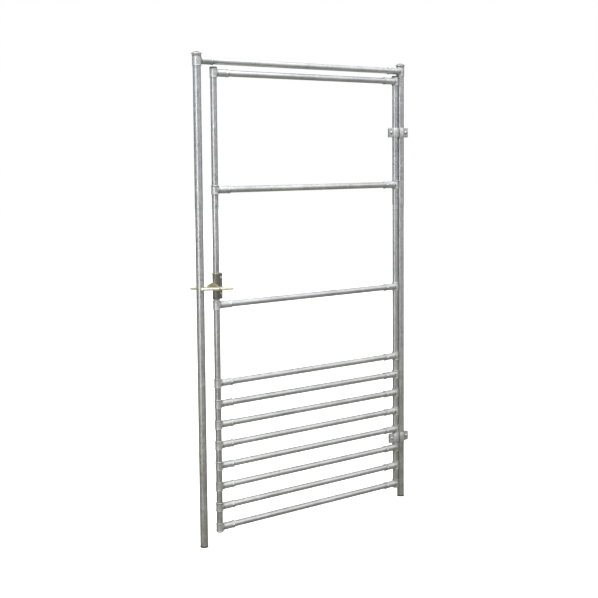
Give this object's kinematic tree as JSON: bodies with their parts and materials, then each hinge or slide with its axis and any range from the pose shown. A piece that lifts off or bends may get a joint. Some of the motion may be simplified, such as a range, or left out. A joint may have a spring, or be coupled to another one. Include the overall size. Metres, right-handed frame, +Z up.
{
  "type": "livestock panel gate",
  "caption": "Tube-framed walk-through livestock gate hung in a goalpost frame, with closely spaced lower rails, strap hinges and a sliding U-bar latch.",
  "frame": {"origin": "centre of the underside of the hinge post's foot plug", "axes": "+Z up along the posts, +X along the gate from the latch side to the hinge side, -Y towards the front, where the screw heads and bolt heads are"},
  "size_m": [1.3224, 0.0902, 2.1],
  "materials": {
    "galvanised_tube": "hot-dip galvanised, weathered",
    "tee_fitting": "hot-dip galvanised, satin",
    "black_plug": "moulded, low gloss",
    "post_cap": "galvanised pressing",
    "clamp_plate": "galvanised pressed plate, matt",
    "latch_strap": "weathered zinc, brown-grey",
    "latch_bar": "yellow-passivated zinc plate",
    "fasteners": "bright zinc plate"
  },
  "bodies": {
    "frame": {"latch_post": "galvanised_tube", "hinge_post": "galvanised_tube", "frame_top_rail": "galvanised_tube", "frame_tee_latch": "tee_fitting", "frame_tee_hinge": "tee_fitting", "post_cap_latch": "post_cap", "post_cap_hinge": "post_cap", "foot_plug_latch": "black_plug", "foot_plug_hinge": "black_plug", "frame_tee_screws": "fasteners", "hinge_clamp_lower_front": "clamp_plate", "hinge_clamp_lower_back": "clamp_plate", "hinge_clamp_upper_front": "clamp_plate", "hinge_clamp_upper_back": "clamp_plate", "hinge_clamp_bolts": "fasteners", "hinge_clamp_nuts": "fasteners"},
    "door": {"latch_stile": "galvanised_tube", "hinge_stile": "galvanised_tube", "door_rail_01": "galvanised_tube", "door_rail_02": "galvanised_tube", "door_rail_03": "galvanised_tube", "door_rail_04": "galvanised_tube", "door_rail_05": "galvanised_tube", "door_rail_06": "galvanised_tube", "door_rail_07": "galvanised_tube", "door_rail_08": "galvanised_tube", "door_rail_09": "galvanised_tube", "door_rail_10": "galvanised_tube", "door_rail_11": "galvanised_tube", "door_tee_latch_01": "tee_fitting", "door_tee_latch_02": "tee_fitting", "door_tee_latch_03": "tee_fitting", "door_tee_latch_04": "tee_fitting", "door_tee_latch_05": "tee_fitting", "door_tee_latch_06": "tee_fitting", "door_tee_latch_07": "tee_fitting", "door_tee_latch_08": "tee_fitting", "door_tee_latch_09": "tee_fitting", "door_tee_latch_10": "tee_fitting", "door_tee_latch_11": "tee_fitting", "door_tee_hinge_01": "tee_fitting", "door_tee_hinge_02": "tee_fitting", "door_tee_hinge_03": "tee_fitting", "door_tee_hinge_04": "tee_fitting", "door_tee_hinge_05": "tee_fitting", "door_tee_hinge_06": "tee_fitting", "door_tee_hinge_07": "tee_fitting", "door_tee_hinge_08": "tee_fitting", "door_tee_hinge_09": "tee_fitting", "door_tee_hinge_10": "tee_fitting", "door_tee_hinge_11": "tee_fitting", "door_tee_screws": "fasteners", "stile_plug_latch": "black_plug", "stile_plug_hinge": "black_plug", "stile_sole_plugs": "black_plug", "latch_clamp": "latch_strap", "latch_clamp_bolts": "fasteners", "latch_clamp_nuts": "fasteners"},
    "latch_bar": {"latch_bar": "latch_bar"}
  },
  "joints": [
    {"name": "door_swing", "type": "hinge", "parent": "frame", "child": "door", "pos_m": [-0.0365, 0, 1], "axis": [0, 0, 1], "range_deg": [-100, 100]},
    {"name": "latch_slide", "type": "slide", "parent": "door", "child": "latch_bar", "axis": [0.9992, 0, -0.0401], "range_m": [0, 0.06]}
  ]
}
